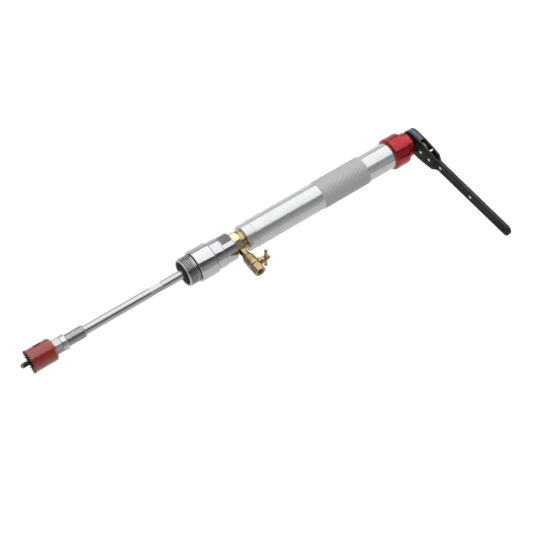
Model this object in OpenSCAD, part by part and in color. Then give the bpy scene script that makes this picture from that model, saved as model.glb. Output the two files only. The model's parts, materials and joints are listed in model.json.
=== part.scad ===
// Hot tap drilling tool: a hole saw on a sliding rod, a screw feed barrel and a hand ratchet.
// The tool axis is X, the saw points to -X, and the ratchet handle and purge valve point to -Y.
// X = 0 is the front face of the connection nipple, where a pipe's shut-off valve screws on.

/* [Connection nipple] */
// Outside diameter of the connection thread (G 1 1/2)
thread_d = 47.8; // [46:0.1:50]
// Length of the connection thread
thread_l = 19.8; // [10:0.1:21]
// Diameter of the grip ring behind the thread
ring_d = 54; // [50:0.5:56]
// Where the grip ring ends
ring_end = 53.7; // [50:0.1:56]
// Bore that the hole saw is drawn back into
chamber_d = 41; // [39:0.5:42]

/* [Coupling body] */
// Diameter of the coupling's front part
coupling_d = 49.2; // [47:0.1:52]
// Length of the coupling's front part
coupling_l = 17.6; // [15:0.1:25]
// Diameter of the coupling's rear part, before its wrench flats
coupling_rear_d = 47.3; // [46.5:0.1:49]
// Length of the coupling's rear part
coupling_rear_l = 21; // [16:0.5:28]
// Distance across the two wrench flats
coupling_flats = 43.2; // [40:0.1:46]

/* [Gland and feed screw] */
// Distance across the flats of the brass octagon
octagon_af = 36; // [34:0.5:38]
// Length of the octagon
octagon_l = 11.6; // [9:0.1:14]
// Outside diameter of the feed thread
feed_d = 36.4; // [34:0.2:37]
// Length of the feed thread
feed_l = 104; // [80:1:120]
// Bore through the gland and feed screw
gland_bore_d = 24; // [21:0.5:26]

/* [Purge valve] */
// Distance across the flats of the valve's outlet end
valve_af = 18; // [17.5:0.5:21]
// Length of the T handle between its ball ends
tee_l = 36; // [26:1:44]
// Diameter of the T handle's bar
tee_d = 5; // [4:0.5:6]

/* [Barrel] */
// Outside diameter of the barrel
barrel_d = 47.5; // [46:0.1:48]
// Where the barrel starts
barrel_start = 115.2; // [112:0.1:118]
// Where the knurled grip starts
knurl_start = 265.4; // [200:0.1:300]
// Length of the knurled grip
knurl_l = 93.3; // [60:0.1:110]
// Outside diameter of the knurled grip
knurl_d = 49.5; // [48.5:0.1:51]
// Where the plain barrel ends under the end cap
barrel_end = 413.8; // [402:0.1:420]

/* [End cap and clamp nut] */
// Diameter of the red end cap
cap_d = 56; // [52:0.5:58]
// Length of the end cap, rear cone included
cap_l = 30.6; // [30.2:0.1:36]
// Diameter of the clamp nut
clamp_d = 44; // [40:0.5:46]
// Length of the clamp nut
clamp_l = 12.4; // [8:0.1:13]

/* [Rod and hole saw] */
// Diameter of the drill rod
rod_d = 15; // [14:0.1:15.2]
// Outside diameter of the hole saw
saw_d = 38; // [30:0.5:39]
// Length of the hole saw from its teeth to its back
saw_l = 43; // [35:0.5:48]
// Number of teeth on the hole saw
saw_teeth = 26; // [18:1:32]
// How far the saw's teeth stand ahead of the nipple
saw_reach = 278; // [275:1:285]
// Diameter of the pilot drill
pilot_d = 8; // [6:0.1:8.5]

/* [Ratchet] */
// Half width of the ratchet head
head_r = 20.5; // [20:0.1:21]
// Reach of the handle from the tool axis to the hang hole
handle_reach = 232.5; // [200:0.5:260]
// Half width of the handle
handle_r = 9.9; // [8.5:0.1:10.1]
// Thickness of each side plate
plate_t = 3; // [2.5:0.1:3.2]

/* [Hidden] */

fit = 0.05;        // gap of a running fit
$fn = 96;

rod_r = rod_d / 2;
chamber_r = chamber_d / 2;
seal_l = 1.3;
ring_start = thread_l + seal_l;
nipple_end = ring_end + 12.3;
nipple_tail_r = chamber_r + 1.95;
relief_r = thread_d / 2 - 1.7;

coupling_step = ring_end + coupling_l;
coupling_end = coupling_step + coupling_rear_l;
coupling_shoulder = nipple_end + 2;
flats_turn = -11;   // where the wrench flats face, turned about X from straight up
gland_spigot_r = 17;
gland_spigot_l = 14;

gasket_t = 0.8;
gland_start = coupling_end + gasket_t;
flange_l = 1.9;
octagon_start = gland_start + flange_l;
octagon_end = gland_start + octagon_l + 0.9;
feed_start = octagon_end + 1.9;
feed_end = feed_start + feed_l;
feed_r = feed_d / 2;
bore_r = gland_bore_d / 2;
stop_ring_x = feed_end - 4;
bush_start = 110;
bush_l = 6;
seal_count = 3;
seal_pitch = 4.5;
seal_ring_l = 3;
seal_nut_start = bush_start + bush_l + seal_count * seal_pitch;

port_x = octagon_start + 6.5;
port_face = -octagon_af / 2;
valve_y = -51.5;

nut_start = barrel_start + 2.3;
nut_l = 24;
barrel_bore_r = 20;

cap_start = barrel_end;
cap_end = cap_start + cap_l;
cap_r = cap_d / 2;
spigot_l = 5.2;    // length of the barrel's end that the cap fits over
cavity_start = cap_start + 7.2;
cavity_end = cap_start + 27.2;
cavity_r = 19;
flange_start = cavity_start + 3.1;
flange_end = flange_start + 6.9;
race_l = 3;
race_r = 18.5;
ball_r = 1.96;
ball_x = flange_end + race_l + 2;
ball_pitch_r = 15.2;
ball_count = 16;
spindle_r = 11;
clamp_start = cap_end + 0.4;
clamp_end = clamp_start + clamp_l;

saw_front = -saw_reach;
saw_back = saw_front + saw_l;
saw_wall = 1.6;
saw_base_l = 5;
slot_l = 10;
slot_w = 4;
slot_lean = 8;
arbor_start = saw_back + 0.5;
hex_l = 12.1;
collar_start = arbor_start + hex_l;
collar_l = 9.4;
coupler_start = collar_start + collar_l;
coupler_l = 31.5;
coupler_end = coupler_start + coupler_l;
rod_front = coupler_start + 17;
flats_start = -61;
flats_l = 21;
pilot_tip = saw_front - 14;

head_x = clamp_end + 7.3;
cavity_w = 7.4;
rear_plate_x = head_x + plate_t + cavity_w;
head_end = rear_plate_x + plate_t;
mid_x = (head_x + head_end) / 2;
square_w = 10.5;
wheel_teeth = 24;
wheel_r = 16.4;
wheel_root_r = 14.4;
wheel_phase = 6;
tooth_lean = 3.4;   // how far a tooth's foot lies behind its tip, so the pawl slides out freely
hub_r = 11;
pawl_h = 26;       // pawl pivot's distance from the tool axis along the handle
pawl_tooth = wheel_phase + 2 * 360 / wheel_teeth;
spring_h = 37.5;
spring_low = -9;
spring_high = 2;
stop_h = 43.5;
stop_z = 14.5;
rivet_hs = [48, 73, 149];

// ---- helpers -------------------------------------------------------------

// Solid cylinder along X
module rod_x(x0, x1, r) {
  translate([x0, 0, 0]) rotate([0, 90, 0]) cylinder(h = x1 - x0, r = r);
}

// Cone along X
module cone_x(x0, x1, r0, r1) {
  translate([x0, 0, 0]) rotate([0, 90, 0]) cylinder(h = x1 - x0, r1 = r0, r2 = r1);
}

// Tube along X
module tube_x(x0, x1, outer, inner) {
  difference() {
    rod_x(x0, x1, outer);
    rod_x(x0 - 1, x1 + 1, inner);
  }
}

// Solid cylinder at (x, z = 0) that runs from y0 down to y1
module rod_y(y0, y1, r) {
  translate([port_x, y0, 0]) rotate([90, 0, 0]) cylinder(h = y0 - y1, r = r);
}

// Cone at (x, z = 0) that runs from y0 down to y1
module cone_y(y0, y1, r0, r1) {
  translate([port_x, y0, 0]) rotate([90, 0, 0]) cylinder(h = y0 - y1, r1 = r0, r2 = r1);
}

// Prism along X with n flats, turned so that a flat faces up
module prism_x(x0, x1, af, n) {
  translate([x0, 0, 0]) rotate([0, 90, 0]) rotate([0, 0, 180 / n])
    linear_extrude(height = x1 - x0) circle(r = af / 2 / cos(180 / n), $fn = n);
}

// Prism along -Y with six flats, turned so that a flat faces up
module hex_y(y0, y1, af) {
  translate([port_x, y0, 0]) rotate([90, 0, 0])
    linear_extrude(height = y0 - y1) circle(r = af / 2 / cos(30), $fn = 6);
}

// Plate in the ratchet's plane: a 2D shape in (distance along the handle, Z), t thick from x0
module plate(x0, t) {
  translate([x0 + t, 0, 0]) rotate([90, 0, -90]) linear_extrude(height = t) children();
}

// Pin along X at a distance h along the handle and a height z
module pin_x(h, z, x0, x1, r) {
  translate([0, -h, z]) rod_x(x0, x1, r);
}

function polar(r, a) = [r * cos(a), r * sin(a)];

// ---- connection and chamber ----------------------------------------------

module connection_nipple() {
  color("gainsboro") difference() {
    union() {
      rod_x(0, thread_l, thread_d / 2);
      rod_x(thread_l, ring_start, relief_r);
      cone_x(ring_start, ring_start + 0.8, ring_d / 2 - 0.8, ring_d / 2);
      rod_x(ring_start + 0.8, ring_end - 0.8, ring_d / 2);
      cone_x(ring_end - 0.8, ring_end, ring_d / 2, ring_d / 2 - 0.8);
      rod_x(ring_end, nipple_end, nipple_tail_r);
    }
    rod_x(-1, nipple_end + 1, chamber_r);
  }
}

module shoulder_seal() {
  color("black") tube_x(thread_l + 0.1, ring_start, thread_d / 2 + 0.4, relief_r);
}

module coupling_body() {
  color("silver") difference() {
    union() {
      rod_x(ring_end, coupling_step, coupling_d / 2);
      rod_x(coupling_step, coupling_end - 1, coupling_rear_d / 2);
      cone_x(coupling_end - 1, coupling_end, coupling_rear_d / 2, coupling_rear_d / 2 - 1);
    }
    rod_x(ring_end - 1, nipple_end, nipple_tail_r);
    rod_x(nipple_end - 1, coupling_shoulder, nipple_tail_r);
    rod_x(coupling_shoulder - 1, coupling_end - gland_spigot_l, chamber_r);
    rod_x(coupling_end - gland_spigot_l - 1, coupling_end + 1, gland_spigot_r);
    for (side = [-1, 1])
      rotate([flats_turn, 0, 0])
        translate([coupling_step + 1.5, -30, side * (coupling_flats / 2 + 10) - 10])
        cube([coupling_rear_l, 60, 20]);
  }
}

module nipple_o_ring() {
  color("black") tube_x(nipple_end + 0.1, coupling_shoulder - 0.1, nipple_tail_r - 0.1, chamber_r + 0.2);
}

module gland_gasket() {
  color("peru") tube_x(coupling_end, gland_start, 19, gland_spigot_r + 0.1);
}

// ---- gland and feed screw ------------------------------------------------

module gland_body() {
  color("goldenrod") difference() {
    union() {
      rod_x(gland_start - gland_spigot_l, gland_start, gland_spigot_r);
      rod_x(gland_start, octagon_start, octagon_af / 2 + 1.3);
      intersection() {
        prism_x(octagon_start, octagon_end, octagon_af, 8);
        union() {
          rod_x(octagon_start, octagon_end - 1.2, octagon_af);
          cone_x(octagon_end - 1.2, octagon_end, octagon_af / 2 + 1.6, octagon_af / 2 - 0.4);
        }
      }
      rod_x(octagon_end, feed_start, feed_r - 1.6);
      rod_x(feed_start, feed_end, feed_r);
    }
    rod_x(gland_start - gland_spigot_l - 1, feed_end + 1, bore_r);
    rod_y(port_face + 5, port_face - 1, 5);
    rod_y(-bore_r + 2, port_face + 1, 3);
    difference() {
      rod_x(stop_ring_x, stop_ring_x + 2, feed_r + 1);
      rod_x(stop_ring_x - 1, stop_ring_x + 3, feed_r - 1.5);
    }
  }
}

module guide_bush() {
  color("darkgoldenrod") tube_x(bush_start, bush_start + bush_l, bore_r, rod_r + fit);
}

module rod_seals() {
  color("dimgray") for (i = [0:seal_count - 1])
    tube_x(bush_start + bush_l + i * seal_pitch, bush_start + bush_l + i * seal_pitch + seal_ring_l,
           bore_r, rod_r + fit);
}

module seal_spacers() {
  color("khaki") for (i = [0:seal_count - 1])
    tube_x(bush_start + bush_l + i * seal_pitch + seal_ring_l,
           bush_start + bush_l + (i + 1) * seal_pitch, bore_r, rod_r + 0.2);
}

module seal_nut() {
  color("goldenrod") difference() {
    tube_x(seal_nut_start, seal_nut_start + 12, bore_r, rod_r + 0.3);
    prism_x(seal_nut_start + 6, seal_nut_start + 13, 17, 6);
  }
}

module feed_stop_ring() {
  color("gray") difference() {
    tube_x(stop_ring_x + fit, stop_ring_x + 2 - fit, feed_r + 1.1, feed_r - 1.45);
    translate([stop_ring_x - 1, -2, 10]) cube([4, 4, 20]);
  }
}

// ---- purge valve ---------------------------------------------------------

module purge_nipple() {
  color("tan") difference() {
    union() {
      rod_y(port_face + 5, port_face, 5);
      hex_y(port_face, -27, 11.5);
      rod_y(-27, -30.4, 5.4);
      rod_y(-30.4, -37, 6.4);
    }
    rod_y(port_face + 6, -38, 2.5);
  }
}

module valve_inlet() {
  color("tan") difference() {
    union() {
      rod_y(-29.6, -32, 7.6);
      cone_y(-32, -36, 8.2, 10);
      rod_y(-36, -43.5, 10);
      rod_y(-43.5, -46.4, 8.4);
    }
    rod_y(-29, -37, 6.4);
    rod_y(-36, -47, 3);
    rod_y(-38.5, -39.5, 20);
  }
  color("tan") difference() {
    rod_y(-38.5, -39.5, 9.4);
    rod_y(-38, -40, 3);
  }
}

module valve_body() {
  color("tan") difference() {
    union() {
      rod_y(-43.5, -55, 10.6);
      hex_y(-55, -69, valve_af);
      translate([port_x, valve_y, 0]) rotate([0, 90, 0]) cylinder(h = 14, r = 6.2);
    }
    rod_y(-43, -46.5, 8.4);
    rod_y(-46, -57, 6.8);
    rod_y(-56, -60, 3);
    rod_y(-59, -70, 5.75);
    translate([port_x, valve_y, 0]) rotate([0, 90, 0]) cylinder(h = 15, r = 2.95);
    translate([port_x + 9.6, valve_y, 0]) rotate([0, 90, 0]) cylinder(h = 5, r = 4.4);
  }
}

module ball_seats() {
  color("white") difference() {
    union() {
      rod_y(valve_y + 5, valve_y + 2.6, 6.75);
      rod_y(valve_y - 2.6, valve_y - 5.4, 6.75);
    }
    rod_y(valve_y + 6, valve_y - 6, 3);
    translate([port_x, valve_y, 0]) sphere(r = 5.35);
  }
}

module stem_packing() {
  color("black") translate([port_x + 9.7, valve_y, 0]) rotate([0, 90, 0]) difference() {
    cylinder(h = 1.8, r = 4.35);
    translate([0, 0, -1]) cylinder(h = 4, r = 2.95);
  }
}

module packing_nut() {
  color("tan") translate([port_x + 11.6, valve_y, 0]) rotate([0, 90, 0]) difference() {
    union() {
      cylinder(h = 2.5, r = 4.35);
      translate([0, 0, 2.4]) linear_extrude(height = 4.6) circle(r = 6.4, $fn = 6);
    }
    translate([0, 0, -1]) cylinder(h = 10, r = 2.95);
  }
}

module valve_ball() {
  color("silver") translate([port_x, valve_y, 0]) difference() {
    sphere(r = 5.3);
    translate([0, 0, -6]) cylinder(h = 12, r = 2.8);
    translate([3.9, -0.9, -3]) cube([3, 1.8, 6]);
  }
}

module valve_stem() {
  color("tan") translate([port_x, valve_y, 0]) {
    translate([4, -0.85, -2.4]) cube([3.2, 1.7, 4.8]);
    translate([7, 0, 0]) rotate([0, 90, 0]) cylinder(h = 19.5, r = 2.9);
  }
}

module valve_handle() {
  color("tan") translate([port_x + 19.4, valve_y, 0]) difference() {
    union() {
      rotate([0, 90, 0]) cylinder(h = 6.4, r = 5);
      translate([3.2, 0, -tee_l / 2]) cylinder(h = tee_l, r = tee_d / 2);
      for (side = [-1, 1]) translate([3.2, 0, side * tee_l / 2]) sphere(r = tee_d / 2 + 0.6);
    }
    translate([-1, 0, 0]) rotate([0, 90, 0]) cylinder(h = 9, r = 2.9);
  }
}

module valve_handle_nut() {
  color("tan") translate([port_x + 25.8, valve_y, 0]) rotate([0, 90, 0]) difference() {
    linear_extrude(height = 3) circle(r = 4.4, $fn = 6);
    translate([0, 0, -1]) cylinder(h = 1.7, r = 2.9);
  }
}

// ---- carriage and barrel -------------------------------------------------

module ball_cage() {
  color("darkkhaki") difference() {
    tube_x(ball_x - 0.9, ball_x + 0.9, race_r - 0.3, spindle_r + 0.8);
    for (i = [0:ball_count - 1]) rotate([i * 360 / ball_count, 0, 0])
      translate([ball_x - 2, 0, ball_pitch_r]) rotate([0, 90, 0]) cylinder(h = 4, r = ball_r + 0.12);
  }
}

module thrust_balls() {
  color("lightgray") for (i = [0:ball_count - 1]) rotate([i * 360 / ball_count, 0, 0])
    translate([ball_x, 0, ball_pitch_r]) sphere(r = ball_r);
}

module barrel_tube() {
  color("silver") difference() {
    union() {
      cone_x(barrel_start, barrel_start + 0.8, barrel_d / 2 - 1.4, barrel_d / 2 - 0.6);
      rod_x(barrel_start + 0.8, barrel_start + 17.3, barrel_d / 2 - 0.6);
      rod_x(barrel_start + 17.3, knurl_start, barrel_d / 2);
      rod_x(knurl_start, knurl_start + knurl_l, knurl_d / 2);
      rod_x(knurl_start + knurl_l, barrel_end, barrel_d / 2 - 0.5);
      rod_x(barrel_end, barrel_end + spigot_l, 22);
    }
    rod_x(barrel_start - 1, nut_start + 1, feed_r + 0.4);
    rod_x(nut_start, barrel_end + spigot_l + 1, barrel_bore_r);
    rod_x(nut_start + nut_l, nut_start + nut_l + 2, barrel_bore_r + 0.9);
  }
}

module feed_nut() {
  color("peru") tube_x(nut_start, nut_start + nut_l, barrel_bore_r, feed_r + fit);
}

module feed_nut_ring() {
  color("gray") difference() {
    tube_x(nut_start + nut_l, nut_start + nut_l + 2, barrel_bore_r + 0.8, feed_r + 0.4);
    translate([nut_start + nut_l - 1, -2, 10]) cube([4, 4, 20]);
  }
}

module end_cap() {
  color("crimson") difference() {
    union() {
      cone_x(cap_start, cap_start + 3, cap_r - 2.6, cap_r);
      rod_x(cap_start + 3, cap_end - 2.6, cap_r);
      cone_x(cap_end - 2.6, cap_end, cap_r - 0.4, clamp_d / 2 + 0.6);
    }
    rod_x(cap_start - 1, cavity_start, 22);
    rod_x(cavity_start - 1, cavity_end, cavity_r);
    rod_x(cavity_end - 1, cap_end + 1, spindle_r + 0.6);
    for (a = [60, 180, 300]) rotate([a, 0, 0])
      translate([cap_start + 5, 0, 20]) cylinder(h = 10, r = 2);
  }
}

module cap_screws() {
  color("dimgray") for (a = [60, 180, 300]) rotate([a, 0, 0])
    translate([cap_start + 5, 0, 22.05]) difference() {
      cylinder(h = 5, r = 2);
      translate([0, 0, 3]) linear_extrude(height = 3) circle(r = 1.1, $fn = 6);
    }
}

module thrust_plate() {
  color("silver") tube_x(barrel_end + spigot_l, cavity_start, 22, rod_r + 0.6);
}

module thrust_washer() {
  color("darkgoldenrod") tube_x(cavity_start, cavity_start + 3, cavity_r, rod_r + 1.5);
}

module rear_race() {
  color("lightgray") tube_x(ball_x + 2, cavity_end, cavity_r, spindle_r + 0.8);
}

// ---- chuck ---------------------------------------------------------------

module spindle() {
  color("silver") difference() {
    union() {
      rod_x(flange_start, flange_end, 17);
      rod_x(flange_end, clamp_end - 3, spindle_r);
    }
    rod_x(flange_start - 1, clamp_end, rod_r + fit);
    rod_x(clamp_start - 2, clamp_end, 9.6);
  }
}

module front_race() {
  color("lightgray") tube_x(flange_end, flange_end + race_l, race_r, spindle_r);
}

module collet() {
  color("gainsboro") difference() {
    tube_x(clamp_start - 2, clamp_end - 3, 9.6, rod_r + fit);
    for (a = [0, 120, 240]) rotate([a, 0, 0])
      translate([clamp_start + 1, -0.5, 0]) cube([clamp_l, 1, 12]);
  }
}

module clamp_nut() {
  color("crimson") difference() {
    union() {
      cone_x(clamp_start, clamp_start + 0.8, clamp_d / 2 - 0.8, clamp_d / 2);
      rod_x(clamp_start + 0.8, clamp_end - 1, clamp_d / 2);
      cone_x(clamp_end - 1, clamp_end, clamp_d / 2, clamp_d / 2 - 1);
    }
    rod_x(clamp_start - 1, clamp_end - 2.9, spindle_r + fit);
    rod_x(clamp_end - 4, clamp_end + 1, rod_r + 0.4);
  }
}

// ---- rod and hole saw ----------------------------------------------------

module drill_rod() {
  color("gainsboro") difference() {
    rod_x(rod_front, head_end - 0.3, rod_r);
    difference() {
      rod_x(flats_start, flats_start + flats_l, rod_d);
      prism_x(flats_start - 1, flats_start + flats_l + 1, rod_d - 1.6, 6);
    }
    difference() {
      rod_x(head_x, head_end + 1, rod_d);
      translate([head_x - 1, -square_w / 2, -square_w / 2]) cube([20, square_w, square_w]);
    }
    rod_x(head_x + 1, head_end + 1, 2.5);
    translate([coupler_end - 7, 0, -10]) cylinder(h = 20, r = 1.5);
  }
}

module rod_coupler() {
  color("silver") difference() {
    union() {
      cone_x(coupler_start, coupler_start + 0.8, 9.2, 10);
      rod_x(coupler_start + 0.8, coupler_end - 1.2, 10);
      cone_x(coupler_end - 1.2, coupler_end, 10, 8.8);
    }
    rod_x(coupler_start - 1, rod_front + 0.1, 6);
    rod_x(rod_front, coupler_end + 1, rod_r);
    translate([coupler_end - 7, 0, -12]) cylinder(h = 24, r = 1.5);
  }
}

module coupler_pin() {
  color("gray") translate([coupler_end - 7, 0, -9.7]) cylinder(h = 19.4, r = 1.5);
}

module saw_arbor() {
  color("silver") difference() {
    union() {
      rod_x(saw_back - saw_base_l, arbor_start + 1, 7.9);
      intersection() {
        prism_x(arbor_start, collar_start, 24, 6);
        union() {
          cone_x(arbor_start, arbor_start + 1, 12.4, 13.4);
          rod_x(arbor_start + 1, collar_start, 13.4);
        }
      }
      rod_x(collar_start - 1, coupler_start, 8);
      rod_x(coupler_start - 1, rod_front, 6);
    }
    rod_x(saw_back - 10, coupler_start, pilot_d / 2);
    rotate([48.6, 0, 0]) translate([collar_start + 4.7, 0, pilot_d / 2 - 1]) cylinder(h = 10, r = 2);
    for (side = [-1, 1]) translate([0, side * 10, 0]) rod_x(arbor_start - 1, arbor_start + 6, 1.4);
  }
}

module drive_pins() {
  color("gray") for (side = [-1, 1]) translate([0, side * 10, 0])
    rod_x(saw_back - saw_base_l, arbor_start + 6, 1.4);
}

module arbor_collar() {
  color("lightgray") difference() {
    union() {
      rod_x(collar_start, coupler_start - 1, 12.7);
      cone_x(coupler_start - 1, coupler_start, 12.7, 11.7);
    }
    rod_x(collar_start - 1, coupler_start + 1, 8);
    rotate([48.6, 0, 0]) translate([collar_start + 4.7, 0, 5]) cylinder(h = 10, r = 2);
  }
}

module arbor_screw() {
  color("goldenrod") rotate([48.6, 0, 0]) translate([collar_start + 4.7, 0, pilot_d / 2]) difference() {
    cylinder(h = 8.3, r = 2);
    translate([-3, -0.4, 7.3]) cube([6, 0.8, 2]);
  }
}

module hole_saw() {
  saw_r = saw_d / 2;
  color("firebrick") difference() {
    union() {
      rod_x(saw_front, saw_back - 3, saw_r);
      cone_x(saw_back - 3, saw_back, saw_r, saw_r - 2.4);
    }
    rod_x(saw_front - 1, saw_back - saw_base_l, saw_r - saw_wall);
    rod_x(saw_back - saw_base_l - 1, saw_back + 1, 7.9);
    for (side = [-1, 1]) translate([0, side * 10, 0]) rod_x(saw_back - 6, saw_back + 1, 1.4);
    for (i = [0:saw_teeth - 1]) rotate([i * 360 / saw_teeth + 5, 0, 0]) translate([0, 0, saw_r - 3])
      linear_extrude(height = 5)
        polygon([[saw_front - 1, -1.7], [saw_front - 1, 1.5], [saw_front + 2.8, -0.8], [saw_front + 1.2, -1.7]]);
    for (a = [-33, 147]) rotate([a, 0, 0])
      translate([saw_front + 22, 0, saw_r - 5]) rotate([0, 0, slot_lean])
      linear_extrude(height = 8) {
        square([slot_l, slot_w], center = true);
        for (e = [-1, 1]) translate([e * slot_l / 2, 0]) circle(r = slot_w / 2);
      }
  }
}

module pilot_drill() {
  color("dimgray") difference() {
    union() {
      cone_x(pilot_tip, pilot_tip + 2.4, 0.4, pilot_d / 2);
      rod_x(pilot_tip + 2.4, coupler_start, pilot_d / 2);
    }
    translate([pilot_tip + 8, 0, -6]) cylinder(h = 12, r = 0.7);
  }
}

module coupon_wire() {
  color("lightgray") translate([pilot_tip + 8, 0, -5.4]) cylinder(h = 10.8, r = 0.6);
}

module ratchet_wheel() {
  pitch = 360 / wheel_teeth;
  color("slategray") difference() {
    union() {
      plate(head_x + plate_t + 0.25, cavity_w - 0.5) polygon([
        for (i = [0:wheel_teeth - 1]) each [
          polar(wheel_root_r, wheel_phase + i * pitch - tooth_lean),
          polar(wheel_r, wheel_phase + i * pitch)
        ]
      ]);
      rod_x(head_x + 0.2, head_end - 0.2, hub_r);
    }
    translate([head_x - 1, -square_w / 2 - 0.02, -square_w / 2 - 0.02])
      cube([20, square_w + 0.04, square_w + 0.04]);
  }
}

module drive_washer() {
  color("gray") tube_x(head_end + 0.1, head_end + 1.6, 9, 2.6);
}

module drive_screw() {
  color("dimgray") difference() {
    union() {
      rod_x(head_x + 3, head_end + 1.6, 2.45);
      rod_x(head_end + 1.6, head_end + 4.6, 4.6);
    }
    prism_x(head_end + 3, head_end + 5, 4, 6);
  }
}

// ---- ratchet -------------------------------------------------------------

// Blank of a side plate: round head, tapered neck, straight handle with a round end
module plate_blank() {
  upper = [[0, head_r - 0.1], [24, head_r - 0.2], [46, 17.4], [57, 15.2], [66, 11],
           [70, handle_r + 0.3], [handle_reach, handle_r - 0.1]];
  lower = [for (i = [len(upper) - 1:-1:0]) [upper[i][0], -upper[i][1]]];
  low = head_x - 1;
  high = head_end + 1;
  difference() {
    union() {
      rod_x(low, high, head_r);
      plate(low, high - low) polygon(concat(upper, lower));
      pin_x(handle_reach, 0, low, high, handle_r);
    }
    rod_x(low - 1, high + 1, hub_r + 0.1);
    pin_x(pawl_h, 0, low - 1, high + 1, 3);
    pin_x(stop_h, stop_z, head_x + plate_t - 1.5, rear_plate_x + 1.5, 2);
    for (h = rivet_hs) pin_x(h, 0, low - 1, high + 1, 2.5);
    pin_x(handle_reach, 0, low - 1, high + 1, 2.25);
  }
}

// A side plate's run seen from above: wide apart at the head, stepped together at the neck.
// x0 is its outer face at the head and step is how far it moves at the neck.
module joggle(x0, step, t) {
  last = handle_reach + handle_r + 1;
  translate([0, 0, -head_r - 1]) linear_extrude(height = 2 * head_r + 2) polygon([
    [x0, head_r + 1], [x0, -58], [x0 + step, -68], [x0 + step, -last],
    [x0 + step + t, -last], [x0 + step + t, -68], [x0 + t, -58], [x0 + t, head_r + 1]
  ]);
}

module front_plate() {
  color("darkslategray") intersection() {
    plate_blank();
    joggle(head_x, cavity_w / 2, plate_t);
  }
}

module rear_plate() {
  color("darkslategray") intersection() {
    plate_blank();
    joggle(rear_plate_x, -cavity_w / 2, plate_t);
  }
}

module head_spacer() {
  low = head_x + plate_t + 0.02;
  t = cavity_w - 0.04;
  lower = [[46, -17.4], [24, 0.2 - head_r], [0, 0.1 - head_r]];
  color("slategray") difference() {
    union() {
      rod_x(low, low + t, head_r);
      plate(low, t) polygon(concat([[0, head_r - 0.1], [20, head_r - 0.2], [20, 12], [57, -9], [57, -15.2]],
                                   lower));
    }
    rod_x(low - 1, low + t + 1, wheel_r + 0.6);
    plate(low - 1, t + 2) polygon([[12, 7], [9.5, 13.2], [14, 17.2], [22, 22], [60, 22], [60, spring_low],
                                   [33, spring_low], [19, -7.5], [14, -4]]);
  }
}

module handle_rivets() {
  color("silver") for (h = rivet_hs) {
    half = h < 60 ? head_end - mid_x : plate_t;
    pin_x(h, 0, mid_x - half, mid_x + half, 2.5);
    pin_x(h, 0, mid_x - half - 0.6, mid_x - half, 3.1);
    pin_x(h, 0, mid_x + half, mid_x + half + 0.6, 3.1);
  }
}

module pawl_pin() {
  color("silver") {
    pin_x(pawl_h, 0, head_x - 0.6, head_x, 3.6);
    pin_x(pawl_h, 0, head_x, head_end, 3);
    pin_x(pawl_h, 0, head_end, head_end + 0.6, 3.6);
  }
}

module stop_pin() {
  color("silver") {
    pin_x(stop_h, stop_z, head_x + plate_t - 1.4, rear_plate_x + 1.4, 2);
    pin_x(stop_h, stop_z, head_x + plate_t + 0.05, rear_plate_x - 0.05, 2.5);
  }
}

module pawl_spring() {
  color("gray") translate([mid_x, -spring_h, spring_low]) difference() {
    cylinder(h = spring_high - spring_low - 0.1, r = 2.2);
    translate([0, 0, -1]) cylinder(h = 13, r = 1.5);
  }
}

module pawl() {
  nose = [polar(14.75, pawl_tooth - tooth_lean - 0.5), polar(17.4, pawl_tooth - 0.4)];
  belly = [polar(17.8, 10), polar(17.3, pawl_tooth - 14), polar(15.9, pawl_tooth - 7)];
  color("darkkhaki") plate(head_x + plate_t + 0.3, cavity_w - 0.6) difference() {
    polygon(concat(nose, [[17, 13.5], [22, 15], [31, 14.3], [37, 9.5], [40.3, 5], [40.3, spring_high],
      [34.5, spring_high], [31, -3], [27.5, -6], [23.5, -5.6], [20.2, -3]], belly));
    translate([pawl_h, 0]) circle(r = 3 + fit);
  }
}

// ---- drawing -------------------------------------------------------------

connection_nipple();
shoulder_seal();
coupling_body();
nipple_o_ring();
gland_gasket();
gland_body();
guide_bush();
rod_seals();
seal_spacers();
seal_nut();
feed_stop_ring();
purge_nipple();
valve_inlet();
valve_body();
ball_seats();
stem_packing();
packing_nut();
valve_ball();
valve_stem();
valve_handle();
valve_handle_nut();
ball_cage();
thrust_balls();
barrel_tube();
feed_nut();
feed_nut_ring();
end_cap();
cap_screws();
thrust_plate();
thrust_washer();
rear_race();
spindle();
front_race();
collet();
clamp_nut();
drill_rod();
rod_coupler();
coupler_pin();
saw_arbor();
drive_pins();
arbor_collar();
arbor_screw();
hole_saw();
pilot_drill();
coupon_wire();
ratchet_wheel();
drive_washer();
drive_screw();
front_plate();
rear_plate();
head_spacer();
handle_rivets();
pawl_pin();
stop_pin();
pawl_spring();
pawl();
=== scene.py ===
"""Looks of the hot tap drilling tool: threads, knurl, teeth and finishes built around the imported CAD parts.

The tool's axis is X, the hole saw points to -X, and the ratchet handle and purge valve point to -Y.
Sizes are worked out in millimetres from the CAD nodes' boxes and turned into metres when a mesh is made.
"""

import json
import math

import bmesh
import bpy
import numpy as np
from mathutils import Matrix, Vector

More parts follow.
